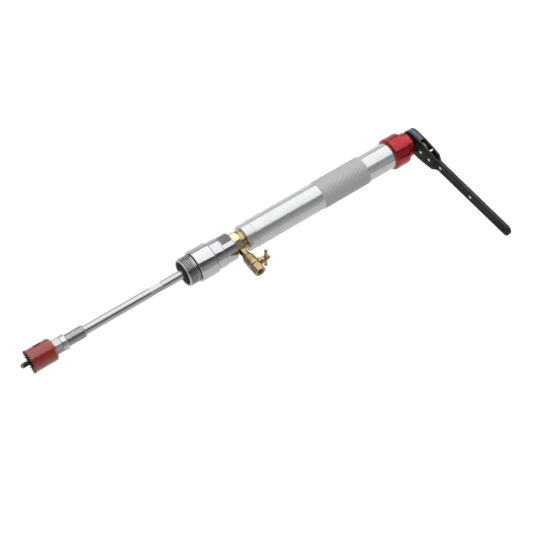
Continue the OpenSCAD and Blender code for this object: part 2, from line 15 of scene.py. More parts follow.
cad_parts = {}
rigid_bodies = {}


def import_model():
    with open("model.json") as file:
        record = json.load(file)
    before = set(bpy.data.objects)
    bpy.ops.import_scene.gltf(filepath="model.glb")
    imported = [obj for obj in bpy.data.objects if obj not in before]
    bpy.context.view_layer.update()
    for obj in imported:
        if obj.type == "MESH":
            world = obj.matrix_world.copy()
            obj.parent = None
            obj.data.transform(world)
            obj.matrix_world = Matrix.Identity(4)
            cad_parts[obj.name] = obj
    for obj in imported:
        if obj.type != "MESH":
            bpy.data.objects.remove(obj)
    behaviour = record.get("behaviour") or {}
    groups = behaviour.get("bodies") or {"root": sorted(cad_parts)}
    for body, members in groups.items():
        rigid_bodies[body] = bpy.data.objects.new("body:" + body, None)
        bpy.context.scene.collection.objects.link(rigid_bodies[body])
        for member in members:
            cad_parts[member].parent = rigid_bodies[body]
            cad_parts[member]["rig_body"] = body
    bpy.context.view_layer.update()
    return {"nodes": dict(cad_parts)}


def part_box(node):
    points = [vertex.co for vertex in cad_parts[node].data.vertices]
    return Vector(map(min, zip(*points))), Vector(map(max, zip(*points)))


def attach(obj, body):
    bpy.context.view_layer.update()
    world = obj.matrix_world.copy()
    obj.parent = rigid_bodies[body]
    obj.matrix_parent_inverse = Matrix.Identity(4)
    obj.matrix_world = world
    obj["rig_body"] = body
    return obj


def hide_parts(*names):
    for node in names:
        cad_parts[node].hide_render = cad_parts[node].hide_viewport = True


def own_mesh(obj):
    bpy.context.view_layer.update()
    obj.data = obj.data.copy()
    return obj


MM = 0.001
ROUND = 240  # facets round a turned part; it divides by 8 and by 6, so corners fall on facet lines

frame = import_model()
scene = bpy.context.scene


# ---- sizes read from the frame ----------------------------------------------


def box(node):
    """Lowest and highest corner of a CAD node, in millimetres."""
    lo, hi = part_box(node)
    return np.array(lo) / MM, np.array(hi) / MM


def along_x(node):
    """Start, end and outer radius of a CAD node that is turned about the tool's axis."""
    lo, hi = box(node)
    return lo[0], hi[0], (hi[2] - lo[2]) / 2


# ---- meshes -----------------------------------------------------------------


def rounded(points, radius, steps=4):
    """A closed outline with its sharp corners rounded. A point is (x, r) or (x, r, its own radius)."""
    out = []
    n = len(points)
    for i, point in enumerate(points):
        p = np.array(point[:2], float)
        before = np.array(points[i - 1][:2], float) - p
        after = np.array(points[(i + 1) % n][:2], float) - p
        a, b = np.linalg.norm(before), np.linalg.norm(after)
        size = min(point[2] if len(point) > 2 else radius, 0.45 * a, 0.45 * b)
        turn = abs(before[0] * after[1] - before[1] * after[0]) / (a * b)
        if size < 1e-4 or turn < 0.1:
            out.append(tuple(p))
            continue
        start, end = p + before / a * size, p + after / b * size
        for k in range(steps + 1):
            t = k / steps
            out.append(tuple(start * (1 - t) ** 2 + p * 2 * t * (1 - t) + end * t * t))
    return out


def run(x0, r0, x1, r1, step):
    """Points from one end of a straight stretch to the other, close enough for a thread or knurl."""
    count = max(2, int(math.ceil(abs(x1 - x0) / step)) + 1)
    t = np.linspace(0, 1, count)
    return [(x0 + (x1 - x0) * k, r0 + (r1 - r0) * k, 0) for k in t]


def finish_mesh(name, verts, faces, sharp=35):
    """A new object from vertices in millimetres, smooth apart from its sharp edges."""
    mesh = bpy.data.meshes.new(name)
    mesh.from_pydata((np.array(verts) * MM).tolist(), [], faces)
    mesh.validate()
    return finish_object(name, mesh, sharp)


def finish_object(name, mesh, sharp=35):
    """A new object for a mesh, smooth apart from the edges sharper than the angle."""
    for p in mesh.polygons:
        p.use_smooth = True
    mesh.set_sharp_from_angle(angle=math.radians(sharp))
    obj = bpy.data.objects.new(name, mesh)
    scene.collection.objects.link(obj)
    return obj


def place_x(u, v, w):
    return u, v, w


def place_y(x):
    """A turned part that runs along -Y: its outline's x is the distance from the tool's axis."""
    return lambda u, v, w: (v + x, -u, w)


def place_z(x, y):
    """A turned part that stands along Z."""
    return lambda u, v, w: (v + x, w + y, u)


def lathe(name, outline, shape=None, place=place_x, n=ROUND, sharp=35):
    """A solid turned from a closed outline of (x, r) points.

    shape(x, r, angle) gives new x and r, which is how flats, threads and knurls are cut.
    """
    x = np.array([p[0] for p in outline])[:, None] * np.ones(n)
    r = np.array([p[1] for p in outline])[:, None] * np.ones(n)
    a = (np.arange(n) * 2 * math.pi / n)[None, :] * np.ones((len(outline), 1))
    if shape:
        x, r = shape(x, r, a)
    u, v, w = place(x, r * np.cos(a), r * np.sin(a))
    verts = np.stack([u, v, w], -1).reshape(-1, 3)
    m = len(outline)
    i, j = np.meshgrid(np.arange(m), np.arange(n), indexing="ij")
    i2, j2 = (i + 1) % m, (j + 1) % n
    faces = np.stack([i * n + j, i * n + j2, i2 * n + j2, i2 * n + j], -1).reshape(-1, 4)
    obj = finish_mesh(name, verts, faces.tolist(), sharp)
    bm = bmesh.new()
    bm.from_mesh(obj.data)
    bmesh.ops.remove_doubles(bm, verts=bm.verts, dist=1e-7)
    bmesh.ops.recalc_face_normals(bm, faces=bm.faces)
    bm.to_mesh(obj.data)
    bm.free()
    obj.data.set_sharp_from_angle(angle=math.radians(sharp))
    return obj


def flats(count, across, turn, x0, x1, outer):
    """A shape that cuts flats across a turned part between x0 and x1, on its outside only."""

    def cut(x, r, a):
        sector = 2 * math.pi / count
        off = (a - turn + sector / 2) % sector - sector / 2
        limit = across / 2 / np.cos(off)
        inside = (x > x0) & (x < x1) & (r > outer)
        return x, np.where(inside, np.minimum(r, limit), r)

    return cut


def thread(pitch, depth, x0, x1, outer, fade=1.0, flat=0.25):
    """A shape that cuts a right-hand thread between x0 and x1, and runs it out at both ends."""

    def cut(x, r, a):
        phase = (x / pitch - a / (2 * math.pi)) % 1
        ridge = np.clip((np.abs(phase - 0.5) * 2 - flat) / (1 - 2 * flat), 0, 1)
        ends = np.clip(np.minimum(x - x0, x1 - x) / (fade * pitch), 0, 1)
        inside = (x > x0) & (x < x1) & (r > outer)
        return x, np.where(inside, r - depth * ridge * ends, r)

    return cut


def chain(*cuts):
    """One shape that does several cuts in turn."""

    def cut(x, r, a):
        for c in cuts:
            x, r = c(x, r, a)
        return x, r

    return cut


def ring(x0, x1, outer, inner, edge):
    """Outline of a plain ring with rounded edges."""
    return rounded([(x0, outer), (x1, outer), (x1, inner), (x0, inner)], edge)


def bar(x0, x1, outer, edge):
    """Outline of a plain round bar with rounded ends."""
    return rounded([(x0, outer), (x1, outer), (x1, 0.01, 0), (x0, 0.01, 0)], edge)


def bore_away(obj, cutter):
    """Cuts one mesh out of another and keeps the result as plain mesh."""
    cut = obj.modifiers.new("cut", "BOOLEAN")
    cut.operation, cut.object, cut.solver = "DIFFERENCE", cutter, "EXACT"
    graph = bpy.context.evaluated_depsgraph_get()
    made = bpy.data.meshes.new_from_object(obj.evaluated_get(graph))
    obj.modifiers.clear()
    obj.data = made
    bpy.data.objects.remove(cutter)


def refine(name, node, width):
    """A copy of a CAD node's mesh with its flat faces made whole and its edges rounded."""
    source = frame["nodes"][node]
    bm = bmesh.new()
    bm.from_mesh(source.data)
    bmesh.ops.remove_doubles(bm, verts=bm.verts, dist=1e-6)
    bmesh.ops.dissolve_limit(bm, angle_limit=math.radians(1), verts=bm.verts, edges=bm.edges)
    corner = math.radians(30)
    edges = [e for e in bm.edges if len(e.link_faces) == 2 and e.calc_face_angle(0) > corner]
    bmesh.ops.bevel(
        bm,
        geom=edges,
        offset=width * MM,
        segments=2,
        profile=0.5,
        affect="EDGES",
        clamp_overlap=True,
    )
    mesh = bpy.data.meshes.new(name)
    bm.to_mesh(mesh)
    bm.free()
    mesh.materials.clear()
    return finish_object(name, mesh)


def tube(name, path, radius, sides=12):
    """A round wire along a path of points in millimetres."""
    pts = np.array(path, float)
    count = len(pts)
    tangent = np.gradient(pts, axis=0)
    tangent /= np.linalg.norm(tangent, axis=1)[:, None]
    normal = np.cross(tangent[0], [0.3, 0.5, 0.81])
    verts = []
    for k in range(count):
        normal = normal - tangent[k] * (normal @ tangent[k])
        normal /= np.linalg.norm(normal)
        side = np.cross(tangent[k], normal)
        for s in range(sides):
            a = 2 * math.pi * s / sides
            verts.append(pts[k] + radius * (normal * math.cos(a) + side * math.sin(a)))
    faces = []
    for k in range(count - 1):
        for s in range(sides):
            near, far = k * sides, (k + 1) * sides
            other = (s + 1) % sides
            faces.append((near + s, near + other, far + other, far + s))
    faces.append(tuple(range(sides))[::-1])
    faces.append(tuple((count - 1) * sides + s for s in range(sides)))
    return finish_mesh(name, verts, faces, 50)


# ---- materials --------------------------------------------------------------


class Shader:
    """A Principled material that is put together a few nodes at a time."""

    def __init__(self, name, color, metallic, roughness, **sockets):
        self.material = bpy.data.materials.new(name)
        self.material.use_nodes = True
        self.nodes = self.material.node_tree.nodes
        self.links = self.material.node_tree.links
        self.shader = self.nodes["Principled BSDF"]
        self.shader.inputs["Base Color"].default_value = (*color, 1)
        self.shader.inputs["Metallic"].default_value = metallic
        self.shader.inputs["Roughness"].default_value = roughness
        for key, value in sockets.items():
            self.shader.inputs[key.replace("_", " ")].default_value = value
        self.coords = self.nodes.new("ShaderNodeTexCoord")

    def noise(self, scale, detail=3.0, stretch=(1, 1, 1), rough=0.5):
        """Noise in the object's own coordinates. stretch multiplies the scale along each axis."""
        mapping = self.nodes.new("ShaderNodeMapping")
        mapping.inputs["Scale"].default_value = stretch
        self.links.new(self.coords.outputs["Object"], mapping.inputs["Vector"])
        texture = self.nodes.new("ShaderNodeTexNoise")
        texture.inputs["Scale"].default_value = scale
        texture.inputs["Detail"].default_value = detail
        texture.inputs["Roughness"].default_value = rough
        self.links.new(mapping.outputs["Vector"], texture.inputs["Vector"])
        return texture.outputs["Fac"]

    def ramp(self, source, low, high, a=0.0, b=1.0):
        """A value that goes from a to b as the source goes from low to high."""
        node = self.nodes.new("ShaderNodeMapRange")
        node.inputs["From Min"].default_value = low
        node.inputs["From Max"].default_value = high
        node.inputs["To Min"].default_value = a
        node.inputs["To Max"].default_value = b
        self.links.new(source, node.inputs["Value"])
        return node.outputs["Result"]

    def axis(self, name):
        """One of the object's own coordinates, in metres."""
        node = self.nodes.new("ShaderNodeSeparateXYZ")
        self.links.new(self.coords.outputs["Object"], node.inputs["Vector"])
        return node.outputs[name]

    def math(self, operation, a, b):
        node = self.nodes.new("ShaderNodeMath")
        node.operation = operation
        for socket, value in zip(node.inputs, (a, b)):
            if isinstance(value, (int, float)):
                socket.default_value = value
            else:
                self.links.new(value, socket)
        return node.outputs[0]

    def mix(self, fac, a, b):
        """A colour between a and b, each a colour or a node's output."""
        node = self.nodes.new("ShaderNodeMix")
        node.data_type = "RGBA"
        self.links.new(fac, node.inputs[0])
        for socket, value in ((node.inputs[6], a), (node.inputs[7], b)):
            if isinstance(value, tuple):
                socket.default_value = (*value, 1)
            else:
                self.links.new(value, socket)
        return node.outputs[2]

    def paint(self, color):
        self.links.new(color, self.shader.inputs["Base Color"])
        return self

    def gloss(self, value):
        self.links.new(value, self.shader.inputs["Roughness"])
        return self

    def bump(self, height, strength, distance=0.0002):
        node = self.nodes.new("ShaderNodeBump")
        node.inputs["Strength"].default_value = strength
        node.inputs["Distance"].default_value = distance
        self.links.new(height, node.inputs["Height"])
        previous = self.shader.inputs["Normal"]
        if previous.is_linked:
            self.links.new(previous.links[0].from_socket, node.inputs["Normal"])
        self.links.new(node.outputs["Normal"], self.shader.inputs["Normal"])
        return self


def scaled(color, k):
    """A lighter or darker copy of a colour."""
    return tuple(min(1.0, c * k) for c in color)


def turned(name, color, rough, marks=0.25, spread=0.08, tone=0.12, lines=1500.0, **sockets):
    """Metal that was cut on a lathe: fine rings along X, with slow patches of handling over them."""
    s = Shader(name, color, sockets.pop("metallic", 1.0), rough, **sockets)
    rings = s.noise(1.0, 2.0, (lines, 6, 6))
    patches = s.noise(45.0, 4.0, (1, 1, 1), 0.6)
    s.paint(s.mix(s.ramp(patches, 0.3, 0.7), scaled(color, 1 - tone), scaled(color, 1 + tone * 0.5)))
    both = s.math("ADD", s.math("MULTIPLY", rings, 0.6), s.math("MULTIPLY", patches, 0.4))
    s.gloss(s.ramp(both, 0.3, 0.7, max(0.03, rough - spread), rough + spread))
    s.bump(rings, marks, 0.00003)
    return s


def cast(name, color, rough, grain=600.0, depth=0.3, tone=0.2, **sockets):
    """Metal or plastic with an even fine grain and darker handling marks."""
    s = Shader(name, color, sockets.pop("metallic", 1.0), rough, **sockets)
    fine = s.noise(grain, 4.0)
    patches = s.noise(60.0, 4.0, (1, 1, 1), 0.6)
    s.paint(s.mix(s.ramp(patches, 0.32, 0.68), scaled(color, 1 - tone), scaled(color, 1 + tone * 0.4)))
    s.gloss(s.ramp(fine, 0.3, 0.7, rough - 0.06, rough + 0.08))
    s.bump(fine, depth, 0.00004)
    return s


def saw_paint():
    """Red paint, rubbed down to dark steel at the teeth and bright on their tips."""
    color = (0.24, 0.013, 0.007)
    s = Shader("saw_paint", color, 0.0, 0.32, Specular_IOR_Level=0.2, Coat_Weight=1.0, Coat_Roughness=0.09)
    patches = s.noise(70.0, 4.0, (1, 1, 1), 0.6)
    peel = s.noise(900.0, 2.0)
    body = s.mix(s.ramp(patches, 0.3, 0.7), scaled(color, 0.8), scaled(color, 1.12))
    front = SAW_FRONT * MM
    edge = s.math("ADD", s.axis("X"), s.math("MULTIPLY", s.noise(500.0, 4.0), 0.003))
    worn = s.ramp(edge, front + 0.0024, front + 0.0036, 1.0, 0.0)
    tips = s.ramp(s.axis("X"), front + 0.0004, front + 0.0011, 1.0, 0.0)
    steel = s.mix(tips, (0.022, 0.019, 0.017), (0.26, 0.21, 0.15))
    s.paint(s.mix(worn, body, steel))
    s.gloss(s.ramp(patches, 0.3, 0.7, 0.26, 0.42))
    s.bump(peel, 0.15, 0.00004)
    s.links.new(s.math("MULTIPLY", worn, 0.9), s.shader.inputs["Metallic"])
    return s


def plate_black(name, color, streak, amount, shine, rough):
    """Dark phosphate on pressed steel, rubbed pale in streaks along the handle."""
    s = Shader(name, color, 0.0, rough, Specular_IOR_Level=shine)
    long_streaks = s.noise(1.0, 5.0, (120, 45, 900), 0.62)
    clouds = s.noise(48.0, 5.0, (1, 0.6, 1), 0.6)
    grain = s.noise(1400.0, 3.0)
    rub = s.math("MULTIPLY", s.ramp(long_streaks, 0.46, 0.70), s.ramp(clouds, 0.38, 0.66))
    s.paint(s.mix(s.math("MULTIPLY", rub, amount), color, streak))
    s.gloss(s.ramp(clouds, 0.3, 0.7, rough - 0.08, rough + 0.14))
    s.bump(grain, 0.25, 0.00004)
    return s


# ---- materials in use -------------------------------------------------------

SAW_FRONT, SAW_BACK, SAW_R = along_x("hole_saw")

NIPPLE = turned("nipple_polished", (0.43, 0.43, 0.425), 0.11, 0.05, 0.03, 0.06)
THREAD = turned("nipple_thread", (0.30, 0.30, 0.29), 0.2, 0.05, 0.03, 0.08)
# Partly painted light: the bore's steel is lighter than the outside steel, standing in for light reaching
# into the shaded chamber; its green-grey tint is its own machined colour.
BORE = cast("bore_steel_and_painted_light", (0.24, 0.28, 0.23), 0.26, 500, 0.2, 0.25, metallic=0.4)
COUPLING = turned("coupling_polished", (0.42, 0.42, 0.425), 0.12, 0.06, 0.03, 0.06)
BARREL = turned("barrel_satin", (0.46, 0.465, 0.46), 0.22, 0.05, 0.03, 0.03, 2200, metallic=0.72)
KNURL = turned("barrel_knurl", (0.37, 0.37, 0.355), 0.6, 0.05, 0.05, 0.05, metallic=0.3)
MILLED = turned("flats_milled", (0.105, 0.108, 0.116), 0.28, 0.1, 0.04, 0.08)
# Painted shade: the coupler, rod and arbor are darker copies of turned steel, standing in for less light at
# the saw end of the tool.
COUPLER = turned("coupler_painted_shade", (0.26, 0.26, 0.26), 0.3, 0.06, 0.04, 0.06)
ROD = turned("rod_ground_painted_shade", (0.38, 0.38, 0.385), 0.24, 0.06, 0.04, 0.06)
ARBOR = turned("arbor_painted_shade", (0.35, 0.35, 0.34), 0.26, 0.10, 0.05, 0.10)
BRASS = turned("gland_brass", (0.56, 0.45, 0.30), 0.2, 0.08, 0.05, 0.12)
# Partly painted shade: the valve's brass is about half as bright as the gland's, standing in for the shade on
# its lower side; its redder tint is its own alloy colour.
VALVE = cast("valve_brass", (0.34, 0.245, 0.14), 0.24, 420, 0.2, 0.2)
RED = turned("red_anodised", (0.29, 0.006, 0.014), 0.24, 0.12, 0.05, 0.12, 900, metallic=0.75,
             Specular_IOR_Level=0.2, Coat_Weight=0.45, Coat_Roughness=0.08)
RUBBER = cast("seal_rubber", (0.030, 0.030, 0.031), 0.55, 900, 0.3, 0.25, metallic=0.0)
BRONZE = turned("bush_bronze", (0.42, 0.25, 0.10), 0.30, 0.2, 0.06, 0.15)
COPPER = cast("gasket_copper", (0.50, 0.22, 0.12), 0.35, 500, 0.2, 0.2)
PTFE = cast("seat_ptfe", (0.78, 0.77, 0.74), 0.4, 700, 0.1, 0.05, metallic=0.0)
BALL = turned("ball_plated", (0.60, 0.60, 0.60), 0.08, 0.05, 0.03, 0.04)
STEEL = turned("machined_steel", (0.44, 0.44, 0.44), 0.26, 0.1, 0.06, 0.10)
WIRE = cast("spring_wire", (0.32, 0.32, 0.33), 0.3, 800, 0.2, 0.15)
BLACKED = cast("black_oxide", (0.030, 0.036, 0.030), 0.34, 700, 0.3, 0.3)
PLATE = plate_black("plate_phosphate", (0.010, 0.013, 0.009), (0.11, 0.12, 0.085), 0.5, 0.04, 0.4)
EDGE = plate_black("plate_sheared_edge", (0.018, 0.021, 0.024), (0.10, 0.11, 0.12), 0.5, 0.2, 0.36)
SPACER = plate_black("spacer_blued", (0.038, 0.050, 0.066), (0.17, 0.20, 0.24), 0.6, 0.5, 0.3)
RIVET = cast("rivet_steel", (0.50, 0.49, 0.48), 0.26, 500, 0.25, 0.16)
PAWL = cast("pawl_bronze", (0.30, 0.24, 0.12), 0.36, 400, 0.3, 0.25)
WHEEL = cast("wheel_steel", (0.10, 0.10, 0.105), 0.36, 600, 0.3, 0.2)
DRILL_TIP = cast("drill_tip_ground", (0.20, 0.22, 0.17), 0.32, 700, 0.3, 0.25)
SCREW = cast("screw_brass", (0.56, 0.42, 0.20), 0.26, 500, 0.2, 0.15)
SAW = saw_paint()


def add(obj, node, shader):
    """Dresses a new piece, and lets it stand for its CAD node and ride on that node's body."""
    source = frame["nodes"][node]
    obj.data.materials.clear()
    obj.data.materials.append(shader.material)
    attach(obj, source["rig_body"])
    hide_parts(node)
    return obj


def extra_piece(obj, shader, body):
    """Dresses a piece that belongs to a CAD node another piece stands for already."""
    obj.data.materials.append(shader.material)
    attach(obj, body)


def plain(node, shader):
    """Keeps a CAD node's own mesh, for what is sealed inside, and gives it its finish."""
    obj = frame["nodes"][node]
    obj.data.materials.clear()
    obj.data.materials.append(shader.material)
    for p in obj.data.polygons:
        p.use_smooth = True
    obj.data.set_sharp_from_angle(angle=math.radians(30))


def more_material(obj, shader, pick):
    """Gives one more finish to the faces whose centre, in millimetres, pick accepts."""
    obj.data.materials.append(shader.material)
    index = len(obj.data.materials) - 1
    for p in obj.data.polygons:
        if pick(np.array(p.center) / MM):
            p.material_index = index


def away(c):
    """A point's distance from the tool's axis."""
    return math.hypot(c[1], c[2])


# ---- nipple and coupling ----------------------------------------------------

NIP_0, NIP_1, RING_R = along_x("connection_nipple")
THREAD_END = along_x("shoulder_seal")[0] - 0.1
RING_0 = along_x("shoulder_seal")[1]
RUN_OUT = THREAD_END - 3.2  # where the thread stops and its undercut starts
COUP_0, COUP_1, COUP_R = along_x("coupling_body")
THREAD_R = 23.9  # G 1 1/2
THREAD_PITCH = 2.309
THREAD_DEPTH = 1.35
UNDERCUT_R = THREAD_R - 1.3
SEAL_BED_R = 22.2
CHAMBER_R = 20.5
TAIL_R = 22.45
FLATS_ACROSS = 43.2
FLATS_TURN = math.radians(90 - 11)


def nipple():
    outline = [(NIP_0 + 0.6, CHAMBER_R), (NIP_0, CHAMBER_R + 0.6), (NIP_0, THREAD_R - 1.6)]
    outline += run(NIP_0 + 1.3, THREAD_R, RUN_OUT, THREAD_R, THREAD_PITCH / 16)
    outline += [
        (RUN_OUT + 0.3, UNDERCUT_R),
        (RUN_OUT + 1.2, UNDERCUT_R),
        (RUN_OUT + 1.5, THREAD_R - 0.1),
        (THREAD_END - 0.2, THREAD_R - 0.1),
        (THREAD_END, THREAD_R - 0.4),
        (THREAD_END + 0.1, SEAL_BED_R),
        (RING_0, SEAL_BED_R),
        (RING_0, RING_R - 0.7, 0.15),
        (RING_0 + 0.7, RING_R, 0.3),
        (COUP_0 - 1.7, RING_R, 0.2),
        (COUP_0 - 1.3, RING_R - 0.4, 0.1),
        (COUP_0 - 1.3, TAIL_R + 0.5),
        (COUP_0 - 0.05, TAIL_R + 0.5),
        (COUP_0 - 0.05, TAIL_R),
        (NIP_1, TAIL_R),
        (NIP_1, CHAMBER_R),
    ]
    cut = thread(THREAD_PITCH, THREAD_DEPTH, NIP_0 + 1.2, RUN_OUT, THREAD_R - 0.4, 0.8, 0.14)
    obj = lathe("nipple_threaded", rounded(outline, 0), cut)
    add(obj, "connection_nipple", NIPPLE)
    more_material(obj, BORE, lambda c: c[0] > NIP_0 + 0.7 and away(c) < CHAMBER_R + 0.2)
    more_material(obj, THREAD, lambda c: NIP_0 + 1.2 < c[0] < THREAD_END + 0.05 and away(c) > CHAMBER_R + 1)
    seal = lathe("shoulder_ring", ring(THREAD_END + 0.1, RING_0 - 0.05, THREAD_R - 0.3, SEAL_BED_R, 0.4))
    add(seal, "shoulder_seal", RUBBER)


def coupling():
    step = COUP_0 + 17.6
    seat = 68
    rear_r = COUP_R - 0.95
    flat_0 = step + 1.5
    outline = [(COUP_0, TAIL_R), (COUP_0, COUP_R - 0.4, 0.2), (COUP_0 + 0.5, COUP_R, 0.2)]
    outline += [(step - 1.0, COUP_R, 0.2), (step - 0.6, COUP_R - 0.4, 0.1), (step - 0.6, COUP_R - 2.2)]
    outline += [(step, COUP_R - 2.2), (step, rear_r, 0.1)]
    outline += [(flat_0 - 0.02, rear_r, 0), (flat_0 + 0.02, rear_r, 0)]
    outline += run(flat_0 + 0.5, rear_r, COUP_1 - 1.2, rear_r, 1.5)
    outline += [(COUP_1, rear_r - 1.1, 0.2), (COUP_1, 17), (COUP_1 - 14, 17)]
    outline += [(COUP_1 - 14, CHAMBER_R), (seat, CHAMBER_R), (seat, TAIL_R)]
    cut = flats(2, FLATS_ACROSS, FLATS_TURN, flat_0, COUP_1 + 1, 19)
    obj = add(lathe("coupling_turned", rounded(outline, 0), cut, n=360), "coupling_body", COUPLING)
    across = Vector((0, math.cos(FLATS_TURN), math.sin(FLATS_TURN)))
    obj.data.materials.append(MILLED.material)
    for p in obj.data.polygons:
        if p.center.x > (flat_0 + 0.1) * MM and abs(p.normal.dot(across)) > 0.9998:
            p.material_index = 1


# ---- gland, feed screw and seals --------------------------------------------

GLAND_0, GLAND_1, _ = along_x("gland_body")
GLAND_R = 18
FEED_R = 18.2
FEED_PITCH = 2.0
OCT_0, OCT_1 = COUP_1 + 2.7, COUP_1 + 13.3
FEED_0 = OCT_1 + 1.9
STOP_X = along_x("feed_stop_ring")[0]


def gland():
    across = 2 * GLAND_R
    corner = GLAND_R / math.cos(math.pi / 8)
    flange = COUP_1 + 0.8
    outline = [(GLAND_0, 12), (GLAND_0, 17), (flange, 17), (flange, GLAND_R + 1.3, 0.2)]
    outline += [(OCT_0 - 0.02, GLAND_R + 1.3, 0.3), (OCT_0 + 0.02, corner, 0)]
    outline += run(OCT_0 + 0.3, corner, OCT_1 - 1.1, corner, 1.0)
    outline += [(OCT_1 - 0.02, corner - 1.3, 0), (OCT_1 + 0.1, FEED_R - 1.6, 0)]
    outline += [(FEED_0 - 0.3, FEED_R - 1.6, 0)]
    outline += run(FEED_0, FEED_R, STOP_X - 0.3, FEED_R, FEED_PITCH / 12)
    outline += [(STOP_X - 0.1, FEED_R - 1.5), (STOP_X + 2, FEED_R - 1.5)]
    outline += [(STOP_X + 2, FEED_R), (GLAND_1 - 0.5, FEED_R), (GLAND_1, FEED_R - 0.5)]
    outline += [(GLAND_1, 12)]
    eight = flats(8, across, math.pi / 2, OCT_0, OCT_1, GLAND_R - 2)
    feed = thread(FEED_PITCH, 1.0, FEED_0 - 0.2, STOP_X - 0.2, FEED_R - 0.5, 0.5, 0.2)
    obj = lathe("gland_octagon", rounded(outline, 0), chain(eight, feed), sharp=25)
    add(obj, "gland_body", BRASS)


# ---- purge valve ------------------------------------------------------------

PORT_X = (box("purge_nipple")[0][0] + box("purge_nipple")[1][0]) / 2
VALVE_Y = 51.5  # the stem's distance from the tool's axis
NIPPLE_HEX = 11.5
OUTLET_HEX = 18
PACKING_HEX = 11.085
HANDLE_NUT_HEX = 7.62
OUTLET_R = 5.75


def hexed(x0, x1, across, outer, chamfer=0.9):
    """Hexagon with rounded-off corners between x0 and x1, with flats that face along Z."""
    cut = flats(6, across, math.pi / 2, x0 - 0.01, x1 + 0.01, outer)

    def shape(x, r, a):
        x, r = cut(x, r, a)
        reach = across / 2 + 0.15 + np.minimum(x - x0, x1 - x) / 0.55
        inside = (x >= x0 - 0.01) & (x <= x1 + 0.01) & (r > outer)
        return x, np.where(inside, np.minimum(r, np.maximum(reach, outer)), r)

    return shape


def hex_run(x0, x1, across):
    corner = across / 2 / math.cos(math.pi / 6)
    ends = [0, 0.12, 0.3, 0.6, 1.0, 1.6]
    xs = [x0 + e for e in ends] + [x1 - e for e in reversed(ends)]
    return [(x, corner, 0) for x in xs]


